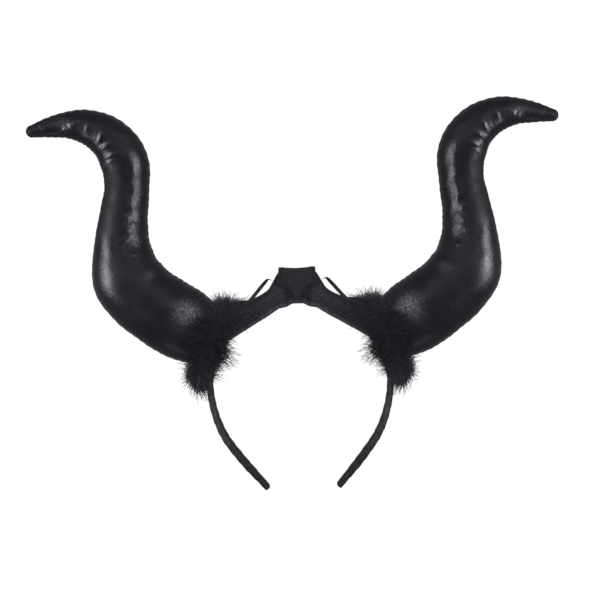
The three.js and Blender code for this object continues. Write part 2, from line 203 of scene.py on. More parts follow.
FUR_MIDDLE = np.array([62.8, -30.7, 21.5])
FUR_AXIS = np.array([0.866, 0.5, 0.0])  # the way the horn leaves the band
FUR_ACROSS = np.array([-FUR_AXIS[1], FUR_AXIS[0], 0.0])
FUR_RING = (26.0, 20.0)  # half width across the front view, half depth
FUR_ROLL = (4.0, 6.0)  # the backing's own half thickness and half width
FUR_LEAN = (-0.5, 2.5)  # its middle's place along the horn, and how far its ends lie either way
FUR_FLOOR = 0.8  # the backing stays this far above the floor
STRAND_FLOOR = 0.6  # and the strands this far

WEAVE = "dull polyester plain weave"

# Stage, in metres and degrees
FLOOR_HALF = 6.0
SENSOR_WIDE = 36  # in millimetres
VIEW_MIDDLE = (-0.0022, 0.002, 0.02)  # what the camera looks down on
LIGHTS_MIDDLE = (0, 0.02, 0.02)  # what the lights face
SOFTBOXES = (  # name, azimuth, elevation, distance, size, the setting that holds its power
    ("side_light_right", 11, 30, 1.15, (0.8, 0.32), "side_light"),
    ("side_light_left", 169, 30, 1.15, (0.8, 0.32), "side_light"),
    ("upper_light_right", 66, 48, 1.3, (0.15, 0.5), "upper_light"),
    ("upper_light_left", 114, 48, 1.3, (0.15, 0.5), "upper_light"),
    ("lower_light", 270, 18, 1.2, (1.0, 0.3), "lower_light"),
)


# Settings


def linear(code):
    """A colour given as sRGB hex, as linear red, green, blue and alpha."""
    parts = [int(code[place : place + 2], 16) / 255 for place in (0, 2, 4)]
    return tuple(p / 12.92 if p <= 0.04045 else ((p + 0.055) / 1.055) ** 2.4 for p in parts) + (1.0,)


def colour_property(name, description, code):
    return FloatVectorProperty(
        name=name, description=description, subtype="COLOR", size=4, min=0, max=1, default=linear(code)
    )


def number_property(name, description, number, unit="NONE"):
    return FloatProperty(name=name, description=description, default=number, min=0, unit=unit)


def length_property(name, description, metres):
    return number_property(name, description, metres, "LENGTH")


def power_property(name, description, watts):
    return number_property(name, description, watts, "POWER")


class HornSettings(PropertyGroup):
    """Stuffed horns of faux leather."""

    swell: length_property("Swell", "How far the stuffing may push the hide out", 0.0022)
    pressure: number_property("Stuffing pressure", "Push of the stuffing", 4.0)
    seam: length_property("Seam depth", "How far the two seams draw the hide in", 0.0006)
    wrinkles: number_property("Wrinkles", "Strength of the wrinkles", 1.0)
    grain: length_property("Grain", "Width of one pebble of the grain", 0.0015)
    colour: colour_property("Hide", "Colour of the faux leather", "0e0e12")
    # the painted highlight specks near the horn's root take this colour
    painted_highlight_colour: colour_property("Painted highlight", "Colour of the painted highlight specks near the root", "68686c")


class FurSettings(PropertyGroup):
    """Fur trim around the horns' roots."""

    density: number_property("Strands", "Strands on each square centimetre of backing", 370)
    pile: length_property("Pile", "Length of the strands", 0.008)
    strand: length_property("Strand radius", "Radius at the root", 0.00011)
    lock: length_property("Lock size", "Width of one lock", 0.004)
    seed: IntProperty(name="Seed", description="Places the strands", default=7)
    colour: colour_property("Fur", "Colour of the fibres", "2d2c30")


class ClothSettings(PropertyGroup):
    """Sleeves, knot and tapes on the crown."""

    thread: length_property("Thread", "Size of the cloth's threads", 0.0009)
    folds: length_property("Folds", "Depth of the drawn folds", 0.0008)
    pleat: length_property("Pleats", "Height of the knot's pleats", 0.0005)
    colour: colour_property("Cloth", "Colour of the sleeves and the knot", "242426")
    tape_colour: colour_property("Tape", "Colour of the tapes", "0e0e10")


class BandSettings(PropertyGroup):
    """Ribbon-wrapped band."""

    turn: length_property("Ribbon turn", "Length of band that one turn of ribbon covers", 0.0085)
    step: length_property("Ribbon step", "Height of the ribbon's edge over the turn before", 0.0003)
    colour: colour_property("Ribbon", "Colour of the satin ribbon", "2b2b2c")


class StageSettings(PropertyGroup):
    """Floor, lights and camera."""

    distance: length_property("Camera distance", "Camera above the horns' middle", 1.2)
    view_wide: length_property("View width", "Width of the view at the horns' middle", 0.42408)
    roll: FloatProperty(
        name="Camera roll",
        description="Tips the headband anticlockwise",
        default=math.radians(1.8),
        subtype="ANGLE",
    )
    side_light: power_property("Side lights", "Power of each side softbox", 9.5)
    upper_light: power_property("Upper lights", "Power of each softbox beyond the horns", 0.75)
    lower_light: power_property("Lower light", "Power of the softbox beyond the arms' tips", 1.6)
    sky: number_property("Sky", "Strength of the even light from all round", 0.3)
    floor_colour: colour_property("Floor", "Colour of the floor's own light", "ffffff")
    floor_light: number_property("Floor light", "Light of the floor's own, which fills shadows on it", 0.98)


class HeadbandSettings(PropertyGroup):
    """All settings of the headband."""

    horn: PointerProperty(type=HornSettings)
    fur: PointerProperty(type=FurSettings)
    cloth: PointerProperty(type=ClothSettings)
    band: PointerProperty(type=BandSettings)
    stage: PointerProperty(type=StageSettings)


# Shape helpers


def spline(rows, shares, even=False):
    """Rows on a smooth curve through the given ones, at shares of the way along it.

    With even, a share is one of the curve's length in its first three columns, and otherwise of its rows.
    """
    rows = np.asarray(rows, float)
    padded = np.vstack([2 * rows[0] - rows[1], rows, 2 * rows[-1] - rows[-2]])

    def at(places):
        scaled = np.clip(places, 0, 1) * (len(rows) - 1)
        first = np.minimum(scaled.astype(int), len(rows) - 2)
        w = (scaled - first)[:, None]
        a, b, c, d = (padded[first + step] for step in range(4))
        far = [np.linalg.norm((q - p)[:, :3], axis=1)[:, None] for p, q in ((a, b), (b, c), (c, d))]
        before, gap, after = (np.maximum(distance, 1e-6) ** 0.5 for distance in far)
        leave = ((b - a) / before - (c - a) / (before + gap) + (c - b) / gap) * gap
        arrive = ((c - b) / gap - (d - b) / (gap + after) + (d - c) / after) * gap
        return (
            (2 * w**3 - 3 * w**2 + 1) * b
            + (w**3 - 2 * w**2 + w) * leave
            + (3 * w**2 - 2 * w**3) * c
            + (w**3 - w**2) * arrive
        )

    if not even:
        return at(shares)
    fine = np.linspace(0, 1, 4001)
    steps = np.linalg.norm(np.diff(at(fine)[:, :3], axis=0), axis=1)
    length = np.concatenate([[0], np.cumsum(steps)])
    return at(np.interp(shares * length[-1], length, fine))


def unit(vectors):
    return vectors / np.maximum(np.linalg.norm(vectors, axis=-1, keepdims=True), 1e-12)


def left_of(ways):
    """The leftward normals of ways in the front view."""
    return unit(np.stack([-ways[:, 1], ways[:, 0], np.zeros(len(ways))], axis=1))


def lean(points):
    """Points of the band's own frame, in the headband's."""
    c, s = math.cos(BAND_TILT), math.sin(BAND_TILT)
    x, y, z = points[..., 0], points[..., 1], points[..., 2]
    return np.stack([x, y * c - z * s + OUTLINE_SHIFT, y * s + z * c + CROWN_HEIGHT], axis=-1)


def around(count):
    """Evenly spaced ways round a circle."""
    return np.arange(count) / count * 2 * math.pi


def squared(values, power):
    """Sines or cosines of a circle, moved towards those of a rounded square."""
    return np.sign(values) * np.abs(values) ** power


def ramp(values, start, end):
    """0 before the start and 1 past the end, with an even rise between them."""
    return np.clip((values - start) / (end - start), 0, 1)


def bump(values, middle, half):
    """1 at the middle, falling off smoothly either way."""
    return np.exp(-(((values - middle) / half) ** 2))


def turn_gap(a, b):
    """The angle between two turns, in degrees, from -180 to 180."""
    return (a - b + 180) % 360 - 180


def near(turns, middle, half):
    """1 at the middle, falling off smoothly either way round, in degrees."""
    return bump(turn_gap(turns, middle), 0, half)


def skin(name, grid, hoop=False):
    """A closed mesh object over a grid of points (rings, points on a ring), in millimetres.

    A hoop's last ring meets its first. Otherwise each end ring is closed to its own middle.
    """
    rings, sides = grid.shape[:2]
    points = [tuple(point) for point in grid.reshape(-1, 3) * MM]
    faces = []
    for ring in range(rings if hoop else rings - 1):
        start, after = ring * sides, (ring + 1) % rings * sides
        for side in range(sides):
            turn = (side + 1) % sides
            faces.append((start + side, start + turn, after + turn, after + side))
    if not hoop:
        for ring in (0, rings - 1):
            points.append(tuple(grid[ring].mean(axis=0) * MM))
            middle = len(points) - 1
            for side in range(sides):
                faces.append((ring * sides + side, ring * sides + (side + 1) % sides, middle))
    mesh = bpy.data.meshes.new(name)
    mesh.from_pydata(points, [], faces)
    shaped = bmesh.new()
    shaped.from_mesh(mesh)
    bmesh.ops.recalc_face_normals(shaped, faces=shaped.faces)
    shaped.to_mesh(mesh)
    shaped.free()
    mesh.shade_smooth()
    return placed(name, mesh)


def placed(name, content):
    """A new object in the scene."""
    made = bpy.data.objects.new(name, content)
    bpy.context.scene.collection.objects.link(made)
    return made


def paint(piece, name, values):
    """Stores one number for each point of the piece's grid, and 0 for points past it, at its ends."""
    layer = piece.data.attributes.new(name, "FLOAT", "POINT")
    full = np.zeros(len(piece.data.vertices), np.float32)
    full[: values.size] = values.ravel()
    layer.data.foreach_set("value", full)


def mirrored(piece, name):
    """The piece's twin on the left side."""
    mesh = piece.data.copy()
    mesh.name = name
    mesh.transform(Matrix.Scale(-1, 4, Vector((1, 0, 0))))
    mesh.flip_normals()
    return placed(name, mesh)


def finish_piece(piece, material, node):
    """Gives the piece its material and puts it in the place of its node."""
    piece.data.materials.clear()
    piece.data.materials.append(material)
    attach(piece, "root")
    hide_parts(node)


def settle(piece):
    """Works the piece's modifiers into its mesh."""
    seen = piece.evaluated_get(bpy.context.evaluated_depsgraph_get())
    mesh = bpy.data.meshes.new_from_object(seen)
    mesh.name = piece.name
    piece.modifiers.clear()
    old = piece.data
    piece.data = mesh
    bpy.data.meshes.remove(old)


# Nodes


def feed(tree, node, inputs):
    """Gives each of the node's inputs a value, or links it to a socket."""
    for name, value in inputs.items():
        if isinstance(value, bpy.types.NodeSocket):
            tree.links.new(value, node.inputs[name])
        else:
            node.inputs[name].default_value = value


def add_node(tree, kind, inputs=None, **settings):
    """Adds a node with its settings, and feeds its inputs."""
    made = tree.nodes.new(kind)
    for name, value in settings.items():
        setattr(made, name, value)
    feed(tree, made, inputs or {})
    return made


def maths(tree, operation, *inputs):
    """What a maths node makes of numbers and sockets."""
    return add_node(tree, "ShaderNodeMath", dict(enumerate(inputs)), operation=operation).outputs["Value"]


def added(tree, *vectors):
    """The sum of vectors."""
    whole = vectors[0]
    for vector in vectors[1:]:
        inputs = {0: whole, 1: vector}
        whole = add_node(tree, "ShaderNodeVectorMath", inputs, operation="ADD").outputs["Vector"]
    return whole


def scaled(tree, vector, amount):
    """The vector or the colour, times the amount."""
    inputs = {0: vector, "Scale": amount}
    return add_node(tree, "ShaderNodeVectorMath", inputs, operation="SCALE").outputs["Vector"]


def ranged(tree, value, old, new, **settings):
    """The value, moved from an old range to a new one."""
    inputs = {"Value": value, "From Min": old[0], "From Max": old[1], "To Min": new[0], "To Max": new[1]}
    return add_node(tree, "ShaderNodeMapRange", inputs, **settings).outputs["Result"]


def noise(tree, place, size, detail, rough=0.5):
    """Noise with spots of about the given size in metres."""
    inputs = {"Vector": place, "Scale": 1 / size, "Detail": detail, "Roughness": rough}
    return add_node(tree, "ShaderNodeTexNoise", inputs).outputs["Fac"]


def ribs(tree, place, size, way, bent, detail):
    """Ribs a little closer than the given size in metres."""
    inputs = {"Vector": place, "Scale": 0.5 / size, "Distortion": bent, "Detail": detail}
    return add_node(tree, "ShaderNodeTexWave", inputs, bands_direction=way).outputs["Fac"]


def relief(tree, height, strength, depth, **under):
    """The normals of bumps of the given depth in metres, on those of the surface under them, if any."""
    inputs = {"Height": height, "Strength": strength, "Distance": depth, **under}
    return add_node(tree, "ShaderNodeBump", inputs).outputs["Normal"]


def mixed(tree, share, first, second):
    """A colour between two others."""
    inputs = {"Factor": share, "A": first, "B": second}
    return add_node(tree, "ShaderNodeMix", inputs, data_type="RGBA").outputs["Result"]


def painted(tree, name):
    """What the piece's points store under the name."""
    return add_node(tree, "ShaderNodeAttribute", attribute_name=name).outputs["Fac"]


# Materials


def new_material(name):
    """An empty material, its tree, its surface shader and its object coordinates."""
    material = bpy.data.materials.new(name)
    material.use_nodes = True
    tree = material.node_tree
    tree.nodes.clear()
    shader = add_node(tree, "ShaderNodeBsdfPrincipled")
    add_node(tree, "ShaderNodeOutputMaterial", {"Surface": shader.outputs["BSDF"]})
    place = add_node(tree, "ShaderNodeTexCoord").outputs["Object"]
    return material, tree, shader, place


def faux_leather(settings):
    """Polyurethane-coated cloth, embossed with a pebble grain and finished glossy.

    A highlight breaks up into specks where the hide is crinkled and stays a clean streak where it is tight.
    """
    material, tree, shader, place = new_material("glossy polyurethane faux leather")
    pebbles = add_node(
        tree,
        "ShaderNodeTexVoronoi",
        {"Vector": place, "Scale": 1 / settings.grain, "Randomness": 0.9},
        feature="DISTANCE_TO_EDGE",
    ).outputs["Distance"]
    grain = ranged(tree, pebbles, (0, 0.28), (0, 1), interpolation_type="SMOOTHSTEP")
    # crinkles, about 2.5 mm across, with the grain on them
    crinkle = painted(tree, "crinkle")
    lumps = noise(tree, place, 0.0024, 1, 0.4)
    hollows = relief(tree, lumps, ranged(tree, crinkle, (0, 1), (0.04, 0.7)), 0.0012)
    pebbled = relief(tree, grain, ranged(tree, crinkle, (0, 1), (0.16, 0.2)), 0.0003, Normal=hollows)
    # handling polishes the hide in patches
    shine = maths(tree, "MULTIPLY_ADD", noise(tree, place, 0.011, 2), 0.8, painted(tree, "polish"))
    darker = tuple(0.72 * c for c in settings.colour[:3]) + (1,)
    hide = mixed(tree, noise(tree, place, 0.02, 3), darker, settings.colour)
    # a painted highlight near the root: a pale patch of specks, about 1.5 mm across, in place of the upper
    # lights' reflection
    highlight_specks = ranged(tree, noise(tree, place, 0.0015, 2), (0.4, 0.65), (0, painted(tree, "chafe")))
    look = {
        "Base Color": mixed(tree, highlight_specks, hide, settings.painted_highlight_colour),
        "Roughness": ranged(tree, shine, (0.4, 1.4), (0.7, 0.23)),
        "IOR": 1.42,
        "Normal": pebbled,
        "Coat Weight": painted(tree, "coat"),
        "Coat Roughness": 0.31,
        "Coat Normal": pebbled,
    }
    feed(tree, shader, look)
    return material


def woven_cloth(settings):
    """Plain polyester weave with a dull face: threads cross in a fine check and pick up a faint sheen."""
    material, tree, shader, place = new_material(WEAVE)
    # threads are drawn about three times as wide as real ones, so that they show
    warp, weft = (ribs(tree, place, settings.thread, way, 0.6, 1) for way in "XY")
    worn = ranged(tree, noise(tree, place, 0.0018, 3), (0.3, 0.7), (0.65, 1.3))
    # painted shading: darker in folds, creases and under edges, lighter along hems and at the knot's foot and
    # top
    depth = ranged(tree, painted(tree, "fold"), (0, 1), (1, 0.25), clamp=False)
    look = {
        "Base Color": scaled(tree, settings.colour[:3], maths(tree, "MULTIPLY", worn, depth)),
        "Normal": relief(tree, maths(tree, "MULTIPLY", warp, weft), 0.35, 0.0003),
        "Roughness": 0.8,
        "Specular IOR Level": 0.2,
        "Sheen Weight": 0.05,
        "Sheen Roughness": 0.5,
    }
    feed(tree, shader, look)
    return material


def satin_ribbon(settings):
    """Satin ribbon: its fine, uneven threads give it a soft, broken shine."""
    material, tree, shader, place = new_material("black satin ribbon")
    threads = noise(tree, place, 0.0022, 3, 0.6)
    worn = ranged(tree, threads, (0.3, 0.7), (0.35, 1.75))
    # painted shade on the band's edges and painted light on its upper arms
    lit = maths(tree, "SUBTRACT", 1.0, painted(tree, "dim"))
    look = {
        "Base Color": scaled(tree, settings.colour[:3], maths(tree, "MULTIPLY", worn, lit)),
        "Normal": relief(tree, threads, 0.5, 0.0004),
        "Roughness": 0.6,
        "Specular IOR Level": 0.15,
        "Sheen Weight": 0.02,
    }
    feed(tree, shader, look)
    return material


def fur_fibre(settings):
    """Matt acrylic fibre: near black, with a slight shine along each strand."""
    material, tree, shader, place = new_material("acrylic fur fibre")
    locks = ranged(tree, noise(tree, place, 0.004, 2), (0, 1), (0.8, 1.25))
    # painted light: the pile is lighter towards the upper and the lower end of the trim, where its loose
    # tufts catch the light
    axes = add_node(tree, "ShaderNodeSeparateXYZ", {"Vector": place}).outputs
    off_middle = {"X": maths(tree, "ABSOLUTE", axes["X"]), "Y": axes["Y"]}
    on_right = add_node(tree, "ShaderNodeCombineXYZ", off_middle).outputs["Vector"]
    inputs = {0: on_right, 1: tuple(FUR_ACROSS)}
    across = add_node(tree, "ShaderNodeVectorMath", inputs, operation="DOT_PRODUCT").outputs["Value"]
    from_middle = maths(tree, "SUBTRACT", across, FUR_ACROSS @ FUR_MIDDLE * MM)
    painted_light_ends = ranged(tree, maths(tree, "ABSOLUTE", from_middle), (0.01, 0.028), (1, 1.8))
    # little light reaches the backing between the strands
    shadow = ranged(tree, painted(tree, "backing"), (0, 1), (1, 0.45))
    shade = maths(tree, "MULTIPLY", maths(tree, "MULTIPLY", locks, painted_light_ends), shadow)
    look = {
        "Base Color": scaled(tree, settings.colour[:3], shade),
        "Roughness": 0.75,
        "Specular IOR Level": 0.25,
    }
    feed(tree, shader, look)
    return material


def elastic_tape(settings):
    """Flat woven elastic: fine ribs across a dull black tape."""
    material, tree, shader, place = new_material("woven elastic tape")
    weave = ribs(tree, place, 0.0007, "DIAGONAL", 0.4, 2)
    look = {
        "Base Color": scaled(tree, settings.tape_colour[:3], ranged(tree, weave, (0, 1), (0.8, 1.15))),
        "Normal": relief(tree, weave, 0.4, 0.0002),
        "Roughness": 0.7,
    }
    feed(tree, shader, look)
    return material


def light_table(settings):
    """Matt opal acrylic, lit from below as on a light table, so that hardly a shadow shows on it."""
    material, tree, shader, place = new_material("matt opal acrylic")
    look = {
        "Base Color": linear("3c3c3c"),  # most of the light from above passes into it
        "Normal": relief(tree, noise(tree, place, 0.002, 2), 0.03, 0.0002),
        "Roughness": 0.9,
        "Specular IOR Level": 0.1,
        "Emission Color": settings.floor_colour,
        "Emission Strength": settings.floor_light,
    }
    feed(tree, shader, look)
    return material


# Horns


def horn_grid(steps, sides):
    """Points of the right horn's slack hide, shares of its length, turns around it, and its outward ways."""
    sections = [(x, y, under + deep / 2, wide, deep) for x, y, wide, deep, under in HORN_SECTIONS]
    rows = np.array(sections, float)
    rows[:, 1] += OUTLINE_SHIFT
    shares = np.linspace(0, 1, steps)
    along = spline(rows, shares, even=True)
    centre = along[:, :3]
    hollow = -left_of(np.gradient(centre, axis=0))[:, None, :]
    wide, deep = along[:, None, 3:4] / 2, along[:, None, 4:5] * HORN_SLACK / 2
    turns = around(sides)
    cos, sin = np.cos(turns)[None, :, None], np.sin(turns)[None, :, None]
    outward = hollow * cos / wide + UP * (sin / deep - HORN_SKEW * cos / wide)
    grid = centre[:, None, :] + hollow * (cos * wide + HORN_SKEW * sin * deep) + UP * sin * deep
    return grid, shares, np.degrees(turns), unit(outward)


def resampled(grid, steps, sides):
    """A coarse grid of offsets on a finer grid: smooth along its rings and around each of them."""
    count = grid.shape[1]
    along = spline(grid.reshape(len(grid), -1), np.linspace(0, 1, steps)).reshape(steps, count, 3)
    rounds = np.concatenate([along[:, -1:], along, along[:, :2]], axis=1).transpose(1, 0, 2)
    places = np.arange(sides) / sides * count
    first = places.astype(int)
    w = (places - first)[:, None, None]
    a, b, c, d = (rounds[first + step] for step in range(4))
    fine = 0.5 * (2 * b + (c - a) * w + (2 * a - 5 * b + 4 * c - d) * w**2 + (3 * b - a - 3 * c + d) * w**3)
    return fine.transpose(1, 0, 2)


def stuffing_offsets(settings):
    """How the stuffing swells the two panels of hide between their seams, from a cloth simulation."""
    steps, sides = 84, 36
    start = horn_grid(steps, sides)[0]
    trial = skin("horn_trial", start)
    seam = [ring * sides + side for ring in range(steps) for side in (0, sides // 2)]
    count = len(trial.data.vertices)
    ends = [place for place in range(count) if place < sides or place >= (steps - 1) * sides]
    trial.vertex_groups.new(name="seam").add(seam + ends, 1.0, "REPLACE")
    stuffing = trial.modifiers.new("stuffing", "CLOTH")
    hide = {
        "quality": 6,
        "mass": 0.15,
        "tension_stiffness": 12,
        "compression_stiffness": 12,
        "bending_stiffness": 0.6,
        "use_pressure": True,
        "uniform_pressure_force": settings.pressure,
        "vertex_group_mass": "seam",
    }
    for name, value in hide.items():
        setattr(stuffing.settings, name, value)
    stuffing.settings.effector_weights.gravity = 0
    stuffing.point_cache.frame_end = HORN_MOMENTS
    scene = bpy.context.scene
    for moment in range(1, HORN_MOMENTS + 1):
        scene.frame_set(moment)
    seen = trial.evaluated_get(bpy.context.evaluated_depsgraph_get())
    moved = np.empty(count * 3, np.float32)
    seen.data.vertices.foreach_get("co", moved)
    scene.frame_set(1)
    offsets = moved.reshape(-1, 3)[: steps * sides].reshape(steps, sides, 3) / MM - start
    far = np.linalg.norm(offsets, axis=2, keepdims=True)
    offsets *= np.minimum(1, settings.swell / MM / np.maximum(far, 1e-9))
    mesh = trial.data
    bpy.data.objects.remove(trial)
    bpy.data.meshes.remove(mesh)
    return offsets


def horn_patches(name, share, turn):
    """The sum of the hide's patches of one kind."""
    return sum(
        amount * near(turn, at, spread) * bump(share, along, reach)
        for at, spread, along, reach, amount in HORN_PATCHES[name]
    )


def horn_hide(settings):
    """The right horn: its swollen form, its wrinkles, its two seams and its rounded tip."""
    steps, sides = 420, 96
    grid, shares, turns, outward = horn_grid(steps, sides)
    grid = grid + resampled(stuffing_offsets(settings), steps, sides)
    length = np.linalg.norm(np.diff(grid.mean(axis=1), axis=0), axis=1).sum()
    share, turn = np.meshgrid(shares, turns, indexing="ij")
    rise = np.zeros_like(share)
    ridged = np.zeros_like(share)
    for number, (at, facing, high, long, spread) in enumerate(HORN_WRINKLES):
        aside = turn_gap(turn, facing)
        bent = at + 0.006 * np.sin(np.radians(aside * 2.3) + number)
        rise += settings.wrinkles * high * bump((share - bent) * length, 0, long) * bump(aside, 0, spread)
        in_bend = at > 0.65 and facing < 110
        if high > 0 and in_bend:
            ridged += bump((share - bent) * length, 0.7 * long, long) * bump(aside, 0, spread)
    # each seam is a fine groove, and the hide puckers beside it
    aside = np.minimum(np.abs(turn_gap(turn, 0)), np.abs(turn_gap(turn, 180)))
    rise -= settings.seam / MM * bump(aside, 0, 4)
    rise += 0.16 * np.sin(share * length / HORN_PUCKER * 2 * math.pi) * bump(aside, 8, 7)
    # a wavering ridge along the inner side of the waist, where the hide is drawn tight over the stuffing
    waver = 119 + 3 * np.sin(share * 110) + 2 * np.sin(share * 190 + 1)
    rise += 0.22 * near(turn, waver, 6.5) * bump(share, 0.63, 0.075)
    # broad unevenness of the stuffing
    rise += 0.22 * np.sin(share * 61 + 0.03 * turn) * np.sin(np.radians(turn) * 2 + share * 23)
    grid = grid + outward * (rise * ramp(share, 1, 0.975))[:, :, None]
    end = grid[-1].mean(axis=0)
    way = unit(end - grid[-4].mean(axis=0))
    last = grid[-1]
    for slope in np.radians([18, 36, 54, 70, 82]):
        ring = end + (last - end) * math.cos(slope) + way * HORN_TIP * math.sin(slope)
        grid = np.concatenate([grid, ring[None]])
    grid[:, :, 2] = np.maximum(grid[:, :, 2], 0)
    piece = skin("horn_right", grid)
    # above its bulge the outer side is dull, and the coat is thick on the ridges of the upper bend
    above_bulge = ramp(share, 0.445, 0.485) * ramp(share, 0.72, 0.62)
    base = {
        "crinkle": 0,
        "polish": 0.85 - 0.85 * near(turn, 42, 44) * above_bulge,
        "coat": 0.55 * ridged,
        "chafe": 0,
    }
    for name, values in base.items():
        paint(piece, name, np.clip(values + horn_patches(name, share, turn), 0, 1))
    return piece


class HEADBAND_OT_horns(Operator):
    """Make the two stuffed horns"""

    bl_idname = "headband.horns"
    bl_label = "Horns"

    def execute(self, context):
        settings = context.scene.headband.horn
        hide = faux_leather(settings)
        right = horn_hide(settings)
        for piece, node in ((right, "right_horn"), (mirrored(right, "horn_left"), "left_horn")):
            finish_piece(piece, hide, node)
        return {"FINISHED"}


# Fur


def fur_ring(rounds, rolls):
    """Points of the right trim's backing, and how far round the horn and round the backing each is."""
    turn, roll = np.meshgrid(rounds, rolls, indexing="ij")
    cos, sin = np.cos(turn)[:, :, None], np.sin(turn)[:, :, None]
    out = FUR_ACROSS * sin + UP * cos
    middle = (
        FUR_MIDDLE
        + np.array([0, OUTLINE_SHIFT, 0])
        + FUR_ACROSS * sin * FUR_RING[0]
        + UP * cos * FUR_RING[1]
        + FUR_AXIS * (FUR_LEAN[0] + FUR_LEAN[1] * sin)
    )
    thick, wide = FUR_ROLL
    grid = middle + out * np.cos(roll)[:, :, None] * thick + FUR_AXIS * np.sin(roll)[:, :, None] * wide
    grid[:, :, 2] = np.maximum(grid[:, :, 2], FUR_FLOOR)
    return grid, turn, roll


def pile_tree():
    """Nodes that grow bent, tapered strands in locks on a backing, denser and longer where it says so."""
    tree = bpy.data.node_groups.new("fur_pile", "GeometryNodeTree")
    kinds = {"Backing": "Geometry", "Density": "Float", "Pile": "Float", "Strand Radius": "Float"}
    kinds.update({"Lock Size": "Float", "Seed": "Int", "Fibre": "Material"})
    for name, kind in kinds.items():
        tree.interface.new_socket(name, in_out="INPUT", socket_type=f"NodeSocket{kind}")
    tree.interface.new_socket("Fur", in_out="OUTPUT", socket_type="NodeSocketGeometry")
    given = add_node(tree, "NodeGroupInput").outputs

    def stored(name, kind="FLOAT"):
        found = add_node(tree, "GeometryNodeInputNamedAttribute", {"Name": name}, data_type=kind)
        return found.outputs["Attribute"]

    def random(inputs, kind="FLOAT_VECTOR"):
        inputs = {**inputs, "Seed": given["Seed"]}
        return add_node(tree, "FunctionNodeRandomValue", inputs, data_type=kind).outputs

    thick = maths(tree, "MULTIPLY", stored("growth"), given["Density"])
    where = {"Mesh": given["Backing"], "Density": thick, "Seed": given["Seed"]}
    roots = add_node(tree, "GeometryNodeDistributePointsOnFaces", where).outputs
    # strands stand up, lie the way they are combed, and lean aside lock by lock and one by one
    place = add_node(tree, "GeometryNodeInputPosition").outputs[0]
    lock_inputs = {"Vector": place, "Scale": maths(tree, "DIVIDE", 1.0, given["Lock Size"]), "Detail": 1.0}
    locks = add_node(tree, "ShaderNodeTexNoise", lock_inputs).outputs["Color"]
    aside = scaled(tree, added(tree, locks, (-0.5, -0.5, -0.5)), 1.5)
    stray = random({"Min": (-0.3, -0.3, -0.3), "Max": (0.3, 0.3, 0.3)})[0]
    way = added(tree, roots["Normal"], stored("comb", "FLOAT_VECTOR"), aside, stray)
    aligned = add_node(tree, "FunctionNodeAlignRotationToVector", {"Vector": way}, axis="Z")
    spin = random({"Max": (0, 0, 6.283)})[0]
    turns = {"Rotation": aligned.outputs["Rotation"], "Rotate By": spin}
    turned = add_node(tree, "FunctionNodeRotateRotation", turns, rotation_space="LOCAL").outputs["Rotation"]
    # one strand, of length 1: bent, and thin at its end
    bent = {"Resolution": 3, "Start": (0, 0, -0.12), "Middle": (-0.03, 0, 0.55), "End": (0.3, 0, 0.93)}
    line = add_node(tree, "GeometryNodeCurveQuadraticBezier", bent).outputs[0]
    along = add_node(tree, "GeometryNodeSplineParameter").outputs["Factor"]
    tapers = {"Curve": line, "Radius": ranged(tree, along, (0, 1), (1, 0.12))}
    tapered = add_node(tree, "GeometryNodeSetCurveRadius", tapers).outputs[0]
    radius = maths(tree, "DIVIDE", given["Strand Radius"], given["Pile"])
    circle = add_node(tree, "GeometryNodeCurvePrimitiveCircle", {"Resolution": 3, "Radius": radius})
    sweep = {"Curve": tapered, "Profile Curve": circle.outputs["Curve"]}
    strand = add_node(tree, "GeometryNodeCurveToMesh", sweep).outputs["Mesh"]
    # one strand in seven stands out of the pile as a wisp, which is longer and thinner
    uneven = random({2: 0.4, 3: 1.2}, "FLOAT")[1]
    wisps = ranged(tree, uneven, (1.08, 1.2), (1, 1.6))
    long = maths(tree, "MULTIPLY", maths(tree, "MULTIPLY", uneven, wisps), stored("pile"))
    size = maths(tree, "MULTIPLY", long, given["Pile"])
    thin = maths(tree, "MULTIPLY", size, maths(tree, "POWER", wisps, -2.0))
    shape = add_node(tree, "ShaderNodeCombineXYZ", {"X": thin, "Y": thin, "Z": size}).outputs["Vector"]
    copies = {"Points": roots["Points"], "Instance": strand, "Rotation": turned, "Scale": shape}
    strands = add_node(tree, "GeometryNodeInstanceOnPoints", copies).outputs["Instances"]
    # only the backing itself stays marked as backing
    unmarked = add_node(tree, "GeometryNodeRemoveAttribute", {"Name": "backing", "Geometry": strands})
    grown = add_node(tree, "GeometryNodeRealizeInstances", {"Geometry": unmarked.outputs["Geometry"]})
    whole = add_node(tree, "GeometryNodeJoinGeometry", {"Geometry": given["Backing"]})
    feed(tree, whole, {"Geometry": grown.outputs["Geometry"]})
    dyed = {"Geometry": whole.outputs["Geometry"], "Material": given["Fibre"]}
    done = add_node(tree, "GeometryNodeSetMaterial", dyed).outputs["Geometry"]
    add_node(tree, "NodeGroupOutput", {"Fur": done})
    return tree


def set_inputs(modifier, values):
    """Sets a node modifier's inputs, found by name, through their identifiers."""
    for item in modifier.node_group.interface.items_tree:
        if item.item_type == "SOCKET" and item.in_out == "INPUT" and item.name in values:
            modifier[item.identifier] = values[item.name]


